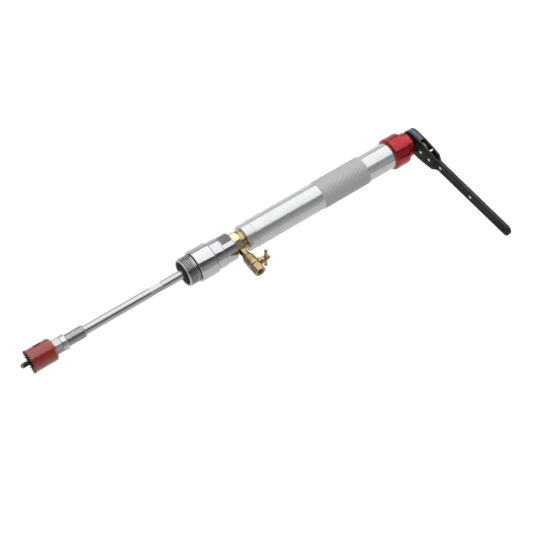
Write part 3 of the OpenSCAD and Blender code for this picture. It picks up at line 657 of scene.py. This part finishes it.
def valve():
    down = place_y(PORT_X)
    outline = [(13, 2.5), (13, 5), (18, 5), (18, 5.8)]
    outline += hex_run(18.02, 27, NIPPLE_HEX)
    outline += [(27.02, 5.4), (30.4, 5.4), (30.4, 6.4), (37, 6.4), (37, 2.5)]
    obj = lathe("purge_nipple_hex", rounded(outline, 0), hexed(18.02, 27, NIPPLE_HEX, 5.6), down, 144)
    add(obj, "purge_nipple", VALVE)

    outline = [(29.6, 6.4), (29.6, 7.6, 0.3), (31.9, 7.6, 0.5), (32.1, 8.2, 0.2), (36, 10, 0.5)]
    outline += [(38.3, 10, 0.4), (38.6, 9.4, 0.15), (39.4, 9.4, 0.15), (39.7, 10, 0.4)]
    outline += [(41.2, 10, 0.4), (41.5, 9.5, 0.15), (42.2, 9.5, 0.15), (42.5, 10, 0.3)]
    outline += [(43.4, 10, 0.5), (43.5, 8.4, 0.1), (46.4, 8.4), (46.4, 3), (37, 3), (37, 6.4)]
    obj = lathe("valve_inlet_ringed", rounded(outline, 0), None, down, 144)
    add(obj, "valve_inlet", VALVE)

    outline = [(43.6, 8.5), (43.6, 10.2, 0.4), (45.6, 10.6, 0.6), (46.6, 9.9, 0.4), (47.4, 10.5, 0.4)]
    outline += [(50, 10.6, 1.2), (53.4, 9.9, 0.8), (54.9, 8.8, 0.3), (55.0, 8.85, 0)]
    outline += hex_run(55.02, 69, OUTLET_HEX)
    outline += [(69, 8.6, 0.3), (69, 7.0, 0.3), (68.6, 6.6, 0.2), (68.2, OUTLET_R, 0)]
    outline += run(67.8, OUTLET_R, 60.5, OUTLET_R, 0.12)
    outline += [(59.2, OUTLET_R), (59.2, 3), (57, 3), (57, 6.8), (46.4, 6.8), (46.4, 8.4)]
    outlet = thread(1.337, 0.5, 59.5, 68.4, 5.6, 0.5, 0.2)

    def shape(x, r, a):
        x, r = hexed(55.02, 69, OUTLET_HEX, 8.87)(x, r, a)
        wall = (r < 5.9) & (r > 5.6)
        _, cut = outlet(x, r, a)
        return x, np.where(wall, r + (r - cut), r)

    body = lathe("valve_body_hex", rounded(outline, 0), shape, down, 144)
    add(body, "valve_body", VALVE)
    more_material(body, BORE, lambda c: c[1] < -57.2 and abs(c[2]) < 5.9
                  and math.hypot(c[0] - PORT_X, c[2]) < 6.3)

    def boss_place(u, v, w):
        return u + PORT_X, v - VALVE_Y, w

    outline = [(7.5, 6.3), (9.0, 6.6, 0.4), (13.2, 6.6, 0.3), (14.0, 5.9, 0.3), (14.0, 4.4), (7.5, 4.4)]
    cut = flats(8, 12.4, math.pi / 2, 8.6, 13.9, 5.8)
    boss = lathe("valve_stem_boss", rounded(outline, 0.2), cut, boss_place, 96)
    extra_piece(boss, VALVE, "base")

    outline = [(11.6, 2.95), (11.6, 4.35), (14.05, 4.35), (14.1, 5.4, 0)]
    outline += hex_run(14.12, 18.6, PACKING_HEX)
    outline += [(18.6, 5.0, 0.2), (18.6, 2.95)]
    cut = hexed(14.12, 18.6, PACKING_HEX, 4.8)
    add(lathe("packing_nut_hex", rounded(outline, 0), cut, boss_place, 96), "packing_nut", VALVE)

    stem = lathe("valve_stem_turned", bar(7.0, 26.5, 2.88, 0.3), None, boss_place, 64)
    add(stem, "valve_stem", VALVE)

    outline = [(25.85, 2.95), (25.85, 3.9, 0.2)] + hex_run(25.87, 28.8, HANDLE_NUT_HEX)
    outline += [(28.8, 3.0, 0.3), (28.8, 0.01)]
    cut = hexed(25.87, 28.8, HANDLE_NUT_HEX, 3.5)
    add(lathe("handle_nut_hex", rounded(outline, 0), cut, boss_place, 72), "valve_handle_nut", VALVE)

    lo, hi = box("valve_handle")
    reach = hi[2]
    mid = (lo[0] + hi[0]) / 2
    ball = 3.1
    neck = reach - 2 * ball
    arc = [(reach, 0.01, 0)]
    for t in np.linspace(0, math.pi * 0.72, 12)[1:]:
        arc.append((reach - ball + ball * math.cos(t), ball * math.sin(t), 0))
    half = arc + [(neck - 0.2, 2.1, 0.2), (neck - 1.2, 2.1, 0.2), (neck - 2.0, 2.5, 0.3)]
    half += [(5.2, 2.35, 0.3), (4.6, 2.9, 0.3)]
    outline = half + [(-x, r, *rest) for x, r, *rest in reversed(half)]
    tee = lathe("tee_bar", rounded(outline, 0), None, place_z(mid, -VALVE_Y), 48)
    hub = [(-3.15, 2.92), (-3.15, 4.6, 0.3), (-1.9, 5.0, 0.5), (1.9, 5.0, 0.5), (3.15, 4.4, 0.4)]
    hub += [(3.15, 2.92)]

    def hub_place(u, v, w):
        return u + mid, v - VALVE_Y, w

    hub_obj = lathe("tee_hub", rounded(hub, 0.2), None, hub_place, 64)
    add(tee, "valve_handle", VALVE)
    extra_piece(hub_obj, VALVE, "purge")


# ---- barrel, cap and clamp --------------------------------------------------

BAR_0 = along_x("barrel_tube")[0]
BAR_END = along_x("end_cap")[0]
SPIGOT_END, CAVITY_0 = along_x("thrust_plate")[:2]
CAVITY_1 = along_x("rear_race")[1]
CAP_1, CAP_R = along_x("end_cap")[1:]
CLAMP_0, CLAMP_1, CLAMP_R = along_x("clamp_nut")
BAR_R = 23.75
BORE_R = 20
KNURL_0, KNURL_1 = 265.4, 358.7
KNURL_R = BAR_R + 1
KNURL_COUNT = 80
KNURL_LEAD = math.tan(math.radians(33))
KNURL_PITCH = 2 * math.pi * KNURL_R / KNURL_COUNT
KNURL_STEP = KNURL_PITCH / KNURL_LEAD / 4


def knurl_shape(x, r, a):
    """Two crossing sets of spiral grooves at 33 degrees, under a slow wave four grooves long."""

    def valley(t):
        return np.abs(((t % 1) - 0.5) * 2)

    inside = (x > KNURL_0 + 0.5) & (x < KNURL_1 - 0.5) & (r > KNURL_R - 0.2)
    around = a * KNURL_R
    along = (x - KNURL_0 - 0.7) * KNURL_LEAD
    u = (around + along) / KNURL_PITCH
    v = (around - along) / KNURL_PITCH
    wave = 0.14 * (1 + np.cos(2 * math.pi * u / 4))
    cut = 0.2 * valley(u) + 0.2 * valley(v) + wave
    return x, np.where(inside, r - cut, r)


def barrel():
    r = BAR_R
    outline = [(BAR_0, 18.6), (BAR_0, r - 1.5, 0.3), (BAR_0 + 0.9, r - 0.6, 0.4)]
    outline += [(BAR_0 + 17, r - 0.6, 0.1), (BAR_0 + 17.4, r, 0.2)]
    outline += run(BAR_0 + 19, r, KNURL_0 - 0.2, r, 12)
    outline += [(KNURL_0 - 0.1, r + 0.1, 0), (KNURL_0 + 0.4, KNURL_R - 0.25, 0)]
    rows = int((KNURL_1 - KNURL_0 - 1.4) / KNURL_STEP)
    outline += [(KNURL_0 + 0.7 + k * KNURL_STEP, KNURL_R, 0) for k in range(rows + 1)]
    outline += [(KNURL_1 - 0.4, KNURL_R - 0.25, 0), (KNURL_1, r - 0.4, 0), (KNURL_1 + 0.2, r - 0.5, 0)]
    outline += run(KNURL_1 + 2, r - 0.5, BAR_END - 1, r - 0.5, 12)
    outline += [(BAR_END + 0.02, r - 0.5), (BAR_END + 0.02, 22), (SPIGOT_END, 22)]
    outline += [(SPIGOT_END, BORE_R), (BAR_0 + 3, BORE_R), (BAR_0 + 3, 18.6)]
    obj = lathe("barrel_knurled", rounded(outline, 0), knurl_shape, n=4 * KNURL_COUNT, sharp=24)
    add(obj, "barrel_tube", BARREL)
    more_material(obj, KNURL, lambda c: KNURL_0 + 0.2 < c[0] < KNURL_1 - 0.2 and away(c) > 22)


def cap():
    grooves = []
    for at, depth in ((BAR_END + 3.5, 0.2), (BAR_END + 12.8, 0.3), (BAR_END + 19.6, 0.3)):
        grooves += [(at - 0.35, CAP_R, 0.1), (at, CAP_R - depth, 0.1), (at + 0.35, CAP_R, 0.1)]
    outline = [(BAR_END, 22), (BAR_END, CAP_R - 2.5, 0.4), (BAR_END + 2.9, CAP_R, 0.5)] + grooves
    outline += [(CAP_1 - 2.6, CAP_R, 0.5), (CAP_1, CLAMP_R + 0.5, 0.3), (CAP_1, 11.6)]
    outline += [(CAVITY_1, 11.6), (CAVITY_1, 19), (CAVITY_0, 19), (CAVITY_0, 22)]
    add(lathe("end_cap_turned", rounded(outline, 0)), "end_cap", RED)

    outline = [(CLAMP_0, 11.06), (CLAMP_0, CLAMP_R - 0.8, 0.2), (CLAMP_0 + 0.7, CLAMP_R, 0.3)]
    at = CLAMP_0 + 5.2
    outline += [(at - 0.35, CLAMP_R, 0.1), (at, CLAMP_R - 0.25, 0.1), (at + 0.35, CLAMP_R, 0.1)]
    outline += [(CLAMP_1 - 0.9, CLAMP_R, 0.4), (CLAMP_1, CLAMP_R - 1, 0.2), (CLAMP_1, 7.9)]
    outline += [(CLAMP_1 - 2.9, 7.9), (CLAMP_1 - 2.9, 11.06)]
    add(lathe("clamp_nut_turned", rounded(outline, 0)), "clamp_nut", RED)


# ---- rod, arbor and saw -----------------------------------------------------

ROD_0, ROD_1, ROD_R = along_x("drill_rod")
COUPLER_0, COUPLER_1, COUPLER_R = along_x("rod_coupler")
COLLAR_0, COLLAR_1, COLLAR_R = along_x("arbor_collar")
ARBOR_HEX = 24
SQUARE = 10.5


def rod():
    hex_0, hex_1 = -61, -40
    head = box("front_plate")[0][0]
    outline = [(ROD_0, 0.01), (ROD_0, ROD_R - 0.4, 0.2), (ROD_0 + 0.5, ROD_R, 0.2)]
    outline += run(ROD_0 + 2, ROD_R, hex_0 - 0.5, ROD_R, 20)
    for x in (hex_0, hex_0 + 0.4, hex_0 + 1.0, hex_1 - 1.0, hex_1 - 0.4, hex_1):
        outline.append((x, ROD_R, 0))
    outline += run(hex_1 + 0.5, ROD_R, head - 0.5, ROD_R, 40)
    outline += [(head - 0.02, ROD_R, 0), (head + 0.02, ROD_R, 0), (ROD_1 - 0.5, ROD_R, 0)]
    outline += [(ROD_1, ROD_R - 0.4, 0), (ROD_1, 2.5), (head + 1, 2.5), (head + 1, 0.01)]
    six = flats(6, 2 * ROD_R - 1.6, math.pi / 2, hex_0 - 0.01, hex_1 + 0.01, 5)

    def shape(x, r, a):
        x, r = six(x, r, a)
        off = (a + math.pi / 4) % (math.pi / 2) - math.pi / 4
        end = (x > head) & (r > 4)
        return x, np.where(end, np.minimum(r, SQUARE / 2 / np.cos(off)), r)

    add(lathe("drill_rod_ground", rounded(outline, 0), shape), "drill_rod", ROD)

    outline = [(COUPLER_0, 6), (COUPLER_0, 9.2, 0.2), (COUPLER_0 + 0.8, COUPLER_R, 0.3)]
    outline += [(COUPLER_0 + 9, COUPLER_R, 0.1), (COUPLER_0 + 9.25, COUPLER_R - 0.25, 0.1)]
    outline += [(COUPLER_0 + 9.5, COUPLER_R, 0.1), (COUPLER_1 - 1.2, COUPLER_R, 0.4)]
    outline += [(COUPLER_1, 8.8, 0.3), (COUPLER_1, 7.5), (COUPLER_0 + 17, 7.5), (COUPLER_0 + 17, 6)]
    add(lathe("rod_coupler_turned", rounded(outline, 0)), "rod_coupler", COUPLER)
    lo, hi = box("coupler_pin")
    pin_x = (lo[0] + hi[0]) / 2
    outline = [(-9.9, 0.01), (-9.9, 1.0, 0.2), (-9.6, 1.45, 0.2), (9.6, 1.45, 0.2), (9.9, 1.0, 0.2)]
    outline += [(9.9, 0.01)]
    add(lathe("coupler_cross_pin", rounded(outline, 0), None, place_z(pin_x, 0), 32),
        "coupler_pin", WIRE)


def arbor():
    hex_0 = SAW_BACK + 0.5
    outline = [(SAW_BACK - 5, 4), (SAW_BACK - 5, 7.88), (hex_0, 7.88), (hex_0, 11.2, 0)]
    outline += [(hex_0 + e, 13.4, 0) for e in (0.02, 0.3, 0.7, 1.3, 2.2)]
    outline += [(COLLAR_0 - e, 13.4, 0) for e in (1.2, 0.6, 0.3, 0.02)]
    outline += [(COLLAR_0, 11.0, 0), (COLLAR_0, 8), (COUPLER_0, 8), (COUPLER_0, 6)]
    outline += [(COUPLER_0 + 16.9, 6), (COUPLER_0 + 16.9, 4)]

    def shape(x, r, a):
        off = (a - math.pi / 2 + math.pi / 6) % (math.pi / 3) - math.pi / 6
        limit = ARBOR_HEX / 2 / np.cos(off)
        reach = ARBOR_HEX / 2 + 0.1 + np.minimum(x - hex_0, COLLAR_0 - x) / 0.7
        on = (x > hex_0 - 0.01) & (x < COLLAR_0 + 0.01) & (r > 11.1)
        return x, np.where(on, np.minimum(np.minimum(r, limit), reach), r)

    add(lathe("saw_arbor_hex", rounded(outline, 0), shape), "saw_arbor", ARBOR)

    outline = [(COLLAR_0 + 0.05, 8.02), (COLLAR_0 + 0.05, COLLAR_R - 0.5, 0.2)]
    outline += [(COLLAR_0 + 0.6, COLLAR_R, 0.3), (COLLAR_1 - 1, COLLAR_R, 0.4)]
    outline += [(COLLAR_1 - 0.05, COLLAR_R - 1, 0.2), (COLLAR_1 - 0.05, 8.02)]
    collar = lathe("arbor_collar_turned", rounded(outline, 0))
    add(collar, "arbor_collar", STEEL)

    turn = math.radians(48.6)
    mid = (COLLAR_0 + COLLAR_1) / 2

    def outward(u, v, w):
        return v + mid, -u * math.sin(turn) - w * math.cos(turn), u * math.cos(turn) - w * math.sin(turn)

    outline = [(6, 0.01), (6, 1.95), (12.6, 1.95, 0.1), (12.8, 1.8, 0.1), (12.8, 1.0), (11.9, 0.9)]
    outline += [(11.9, 0.01)]
    screw = lathe("arbor_set_screw", rounded(outline, 0), None, outward, 48)
    add(screw, "arbor_screw", SCREW)


def slot_cutter(turn):
    """A leaning slot's block, turned about X to where it goes through the saw's wall."""
    length, width, lean = 10, 4, 8
    corners = []
    for end in (1, -1):
        for k in range(13):
            t = math.radians(-90 + 15 * k + (0 if end > 0 else 180))
            corners.append((end * length / 2 + width / 2 * math.cos(t), width / 2 * math.sin(t)))
    bm = bmesh.new()
    rings = []
    for z in (SAW_R - 5, SAW_R + 3):
        rings.append([bm.verts.new((x * MM, y * MM, z * MM)) for x, y in corners])
    bm.faces.new(rings[0][::-1])
    bm.faces.new(rings[1])
    count = len(corners)
    for k in range(count):
        j = (k + 1) % count
        bm.faces.new((rings[0][k], rings[0][j], rings[1][j], rings[1][k]))
    bm.transform(
        Matrix.Rotation(math.radians(turn), 4, "X")
        @ Matrix.Translation(((SAW_FRONT + 22) * MM, 0, 0))
        @ Matrix.Rotation(math.radians(lean), 4, "Z")
    )
    mesh = bpy.data.meshes.new("slot")
    bm.to_mesh(mesh)
    bm.free()
    cutter = bpy.data.objects.new("slot", mesh)
    scene.collection.objects.link(cutter)
    return cutter


def saw():
    wall, base = 1.6, 5
    inner = SAW_R - wall
    teeth, facets_per_tooth = 26, 12
    gullet_depth = 2.9
    outline = [(SAW_FRONT, SAW_R), (SAW_FRONT + 1.2, SAW_R), (SAW_FRONT + 3, SAW_R)]
    outline += run(SAW_FRONT + 4, SAW_R, SAW_BACK - 3, SAW_R, 4)
    outline += [(SAW_BACK - 3, SAW_R, 0.8), (SAW_BACK, SAW_R - 2.4, 0.5)]
    outline += [(SAW_BACK, 7.9), (SAW_BACK - base, 7.9), (SAW_BACK - base, inner, 0.8)]
    outline += run(SAW_BACK - base - 2, inner, SAW_FRONT + 4, inner, 4)
    outline += [(SAW_FRONT + 3, inner), (SAW_FRONT + 1.2, inner), (SAW_FRONT, inner)]

    def shape(x, r, a):
        phase = (a * teeth / (2 * math.pi)) % 1
        which = np.floor(a * teeth / (2 * math.pi)) % 2
        gullet = np.where(phase < 0.12, phase / 0.12, 1 - (phase - 0.12) / 0.88)
        gullet = np.clip(gullet * 1.25, 0, 1) ** 0.8 * gullet_depth
        near = np.clip(1 - (x - SAW_FRONT) / 4.0, 0, 1)
        near = np.where(r > inner - 0.01, near, 0)
        lean = np.where(which < 1, 0.35, -0.35) * near * (1 - gullet / gullet_depth)
        return x + gullet * near, r + np.where(r > inner - 0.01, lean, 0)

    obj = lathe("hole_saw_toothed", rounded(outline, 0), shape, n=teeth * facets_per_tooth, sharp=40)
    for turn in (-33, 147):
        bore_away(obj, slot_cutter(turn))
    obj.data.set_sharp_from_angle(angle=math.radians(35))
    add(obj, "hole_saw", SAW)
    more_material(obj, BLACKED, lambda c: SAW_FRONT + 3.5 < c[0] < SAW_BACK - 4.5 and away(c) < inner + 0.3)


def pilot():
    tip, end, r = along_x("pilot_drill")
    outline = [(tip, 0.05), (tip + 0.5, 0.9)]
    outline += run(tip + 2.4, r, tip + 40, r, 0.5)
    outline += [(end, r), (end, 0.05)]

    lead = 38
    land = 0.62

    def shape(x, rr, a):
        turn = a - (x - tip) * 2 * math.pi / lead
        lobe = np.abs(np.cos(turn))
        depth = np.clip((land - lobe) / land, 0, 1) ** 0.7 * 0.42
        relief = np.where((lobe > land) & (lobe < 0.92), 0.035, 0)
        flute = np.clip((tip + 36 - x) / 6, 0, 1) * np.where(rr > 0.5, 1, 0)
        return x, rr * (1 - (depth + relief) * flute)

    drill = add(lathe("pilot_drill_fluted", rounded(outline, 0), shape, n=96, sharp=30),
                "pilot_drill", BLACKED)
    more_material(drill, DRILL_TIP, lambda c: c[0] < tip + 5)
    lo, hi = box("coupon_wire")
    x = (lo[0] + hi[0]) / 2
    half = 5.3
    path = [(x, 0, -half + 0.4), (x, 0, 0), (x, 0, half - 0.4)]
    for t in np.linspace(0.12, math.pi - 0.12, 24):
        path.append((x + 1.2 * math.sin(t), 4.75 * math.sin(t), 4.9 * math.cos(t)))
    add(tube("coupon_wire_loop", path, 0.55), "coupon_wire", WIRE)


# ---- ratchet ----------------------------------------------------------------

HEAD_0, HEAD_1 = box("front_plate")[0][0], box("rear_plate")[1][0]
HEAD_MID = (HEAD_0 + HEAD_1) / 2
HANDLE_HALF = 3.0  # half the handle's thickness, where its plates lie on each other
RIVETS = (48, 73, 149)  # distances from the tool's axis along the handle
PAWL_PIN = 26
STOP_PIN, STOP_PIN_Z = 43.5, 14.5


def pin_place(h, z):
    """A part along X that stands at a distance h from the tool's axis along the handle."""
    return lambda u, v, w: (u, v - h, w + z)


def domed(name, h, x0, x1, shank, head):
    """A rivet along X with low domed heads."""
    rise = 0.6
    outline = [(x0 - rise, 0.01), (x0 - rise, head * 0.45, 0.3), (x0 - rise * 0.6, head * 0.86, 0.3)]
    outline += [(x0, head, 0.15), (x0, shank)]
    other = [(x0 + x1 - x, r, *rest) for x, r, *rest in reversed(outline)]
    return lathe(name, rounded(outline + other, 0), None, pin_place(h, 0), 48)


def pawl_spring():
    lo, hi = box("pawl_spring")
    low, high = lo[2], hi[2]
    x, y = (lo[0] + hi[0]) / 2, (lo[1] + hi[1]) / 2
    coils, coil_r, wire = 6, 1.8, 0.35
    rise = high - low - 2 * wire
    path = []
    for t in np.linspace(0, 1, coils * 20 + 1):
        ease = t - 0.12 * math.sin(2 * math.pi * t)
        a = 2 * math.pi * coils * t
        path.append((x + coil_r * math.cos(a), y + coil_r * math.sin(a), low + wire + rise * ease))
    spring = add(tube("pawl_spring_coil", path, wire, 8), "pawl_spring", WIRE)
    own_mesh(spring)


def ratchet():
    for name, node in (("plate_front_pressed", "front_plate"), ("plate_rear_pressed", "rear_plate")):
        plate = add(refine(name, node, 0.4), node, PLATE)
        plate.data.materials.append(EDGE.material)
        for p in plate.data.polygons:
            if abs(p.normal.x) < 0.6:
                p.material_index = 1
    add(refine("head_spacer_sawn", "head_spacer", 0.25), "head_spacer", SPACER)
    add(refine("ratchet_wheel_cut", "ratchet_wheel", 0.2), "ratchet_wheel", WHEEL)
    add(refine("pawl_cast", "pawl", 0.35), "pawl", PAWL)

    rivets = []
    for k, h in enumerate(RIVETS):
        half = HEAD_1 - HEAD_MID if k == 0 else HANDLE_HALF
        rivets.append(domed(f"handle_rivet_{k + 1}", h, HEAD_MID - half, HEAD_MID + half, 2.45, 3.0))
    add(rivets[0], "handle_rivets", RIVET)
    for rivet in rivets[1:]:
        extra_piece(rivet, RIVET, "ratchet")
    add(domed("pawl_pin_riveted", PAWL_PIN, HEAD_0, HEAD_1, 2.95, 3.9), "pawl_pin", RIVET)
    end_0, end_1 = HEAD_0 + 1.65, HEAD_1 - 1.65
    outline = [(end_0, 0.01), (end_0, 1.95, 0.2), (HEAD_0 + 3.05, 1.95), (HEAD_0 + 3.05, 2.48, 0.3)]
    outline += [(HEAD_1 - 3.05, 2.48, 0.3), (HEAD_1 - 3.05, 1.95), (end_1, 1.95, 0.2)]
    outline += [(end_1, 0.01)]
    place = pin_place(STOP_PIN, STOP_PIN_Z)
    add(lathe("stop_pin_turned", rounded(outline, 0), None, place, 40), "stop_pin", RIVET)
    pawl_spring()

    x0, x1, r = along_x("drive_washer")
    add(lathe("drive_washer_flat", ring(x0, x1, r, 2.65, 0.25)), "drive_washer", STEEL)
    x0, x1, r = along_x("drive_screw")
    socket = x1 - 1.6
    outline = [(x0, 0.01), (x0, 2.4), (x1 - 3, 2.4), (x1 - 3, r, 0.2), (x1 - 0.6, r, 0.5)]
    outline += [(x1, r - 0.8, 0.3)]
    outline += [(x1, 2.4, 0.1), (x1 - 0.3, 2.2, 0), (socket, 2.2, 0), (socket, 0.01)]
    key = flats(6, 4.0, math.pi / 2, socket - 0.1, x1 - 0.25, 1.9)

    def shape(u, rr, a):
        _, cut = key(u, rr, a)
        return u, np.where(rr < 2.3, cut, rr)

    add(lathe("drive_screw_cap", rounded(outline, 0), shape), "drive_screw", BLACKED)


# ---- what is inside ---------------------------------------------------------


def inside():
    """The parts that stay out of sight keep their CAD shape."""
    finishes = {
        "nipple_o_ring": RUBBER, "gland_gasket": COPPER, "guide_bush": BRONZE, "rod_seals": RUBBER,
        "seal_spacers": BRASS, "seal_nut": BRASS, "feed_stop_ring": WIRE, "ball_seats": PTFE,
        "stem_packing": RUBBER, "valve_ball": BALL, "ball_cage": BRONZE, "thrust_balls": BALL,
        "feed_nut": BRONZE, "feed_nut_ring": WIRE, "cap_screws": BLACKED, "thrust_plate": STEEL,
        "thrust_washer": BRONZE, "rear_race": BALL, "spindle": STEEL, "front_race": BALL,
        "collet": STEEL, "drive_pins": WIRE,
    }
    for node, shader in finishes.items():
        plain(node, shader)


nipple()
coupling()
gland()
valve()
barrel()
cap()
rod()
arbor()
saw()
pilot()
ratchet()
inside()


# ---- light, floor and camera ------------------------------------------------


def sky(nodes, links, height, low, middle, high):
    """Walls of the studio: a colour at the horizon, one a third of the way up, and one beside the light."""
    ramp = nodes.new("ShaderNodeValToRGB")
    links.new(height, ramp.inputs[0])
    ends = ramp.color_ramp.elements
    ends[0].position, ends[0].color = 0.0, (*low, 1)
    ends[1].position, ends[1].color = 0.64, (*high, 1)
    part = ends.new(0.33)
    part.color = (*middle, 1)
    return ramp.outputs[0]


def studio_floor():
    bpy.ops.mesh.primitive_plane_add(size=14, location=(0.1, 0, FLOOR_Z))
    floor = bpy.context.object
    floor.name = "floor"
    material = bpy.data.materials.new("floor_white")
    material.use_nodes = True
    shader = material.node_tree.nodes["Principled BSDF"]
    shader.inputs["Base Color"].default_value = (0.25, 0.25, 0.245, 1)
    shader.inputs["Roughness"].default_value = 0.9
    shader.inputs["Specular IOR Level"].default_value = 0.0
    shader.inputs["Emission Color"].default_value = (1, 1, 0.985, 1)
    shader.inputs["Emission Strength"].default_value = 0.78
    floor.data.materials.append(material)


def studio_walls():
    world = bpy.data.worlds.new("studio")
    scene.world = world
    world.use_nodes = True
    nodes, links = world.node_tree.nodes, world.node_tree.links
    background = nodes["Background"]
    coords = nodes.new("ShaderNodeTexCoord")
    split = nodes.new("ShaderNodeSeparateXYZ")
    links.new(coords.outputs["Generated"], split.inputs[0])
    height = split.outputs["Z"]
    front = sky(nodes, links, height, (0.60, 0.60, 0.59), (0.46, 0.47, 0.47), (0.13, 0.145, 0.165))
    back = sky(nodes, links, height, (1.15, 1.15, 1.15), (0.72, 0.73, 0.75), (0.30, 0.32, 0.36))
    blend = nodes.new("ShaderNodeMapRange")
    blend.inputs["From Min"].default_value = -0.35
    blend.inputs["From Max"].default_value = 0.35
    links.new(split.outputs["Y"], blend.inputs["Value"])
    both = nodes.new("ShaderNodeMix")
    both.data_type = "RGBA"
    links.new(blend.outputs[0], both.inputs[0])
    links.new(front, both.inputs[6])
    links.new(back, both.inputs[7])
    links.new(both.outputs[2], background.inputs["Color"])
    background.inputs["Strength"].default_value = 1.0


def studio_lamp():
    """One large flat lamp over the tool, turned in plan so that its edges cross the barrel's top."""
    light = bpy.data.lights.new("overhead", "AREA")
    light.shape = "RECTANGLE"
    light.size, light.size_y = LAMP_SIZE
    light.energy = math.pi * light.size * light.size_y * LAMP_RADIANCE
    lamp = bpy.data.objects.new("overhead", light)
    turn = Matrix.Rotation(LAMP_TURN, 4, "Z")
    lamp.matrix_world = turn @ Matrix.Translation(LAMP_AT)
    scene.collection.objects.link(lamp)


def camera():
    data = bpy.data.cameras.new("camera")
    data.sensor_width = 36
    data.lens = LENS
    cam = bpy.data.objects.new("camera", data)
    turn = (
        Matrix.Rotation(math.radians(CAMERA_AZIMUTH), 4, "Z")
        @ Matrix.Rotation(math.radians(90 - CAMERA_ELEVATION), 4, "X")
        @ Matrix.Rotation(math.radians(CAMERA_ROLL), 4, "Z")
    )
    cam.matrix_world = Matrix.Translation(CAMERA_AT) @ turn
    scene.collection.objects.link(cam)
    scene.camera = cam


# Places in metres, angles in degrees, and the lens in millimetres on a 36 mm sensor.
FLOOR_Z = -0.30
LAMP_SIZE = (5.6, 4.55)
LAMP_AT = Vector((1.25, 1.55, 2.05))  # along and across the lamp's own turned axes, and up
LAMP_TURN = math.radians(-24)
LAMP_RADIANCE = 1.88
CAMERA_AT = Vector((-0.5623, -0.9993, 1.6449))
CAMERA_AZIMUTH, CAMERA_ELEVATION, CAMERA_ROLL = -35.963, 54.966, 0.154
LENS = 85.779

studio_floor()
studio_walls()
studio_lamp()
camera()
scene.view_settings.view_transform = "Standard"
scene.view_settings.look = "None"
scene.view_settings.exposure = 0.0
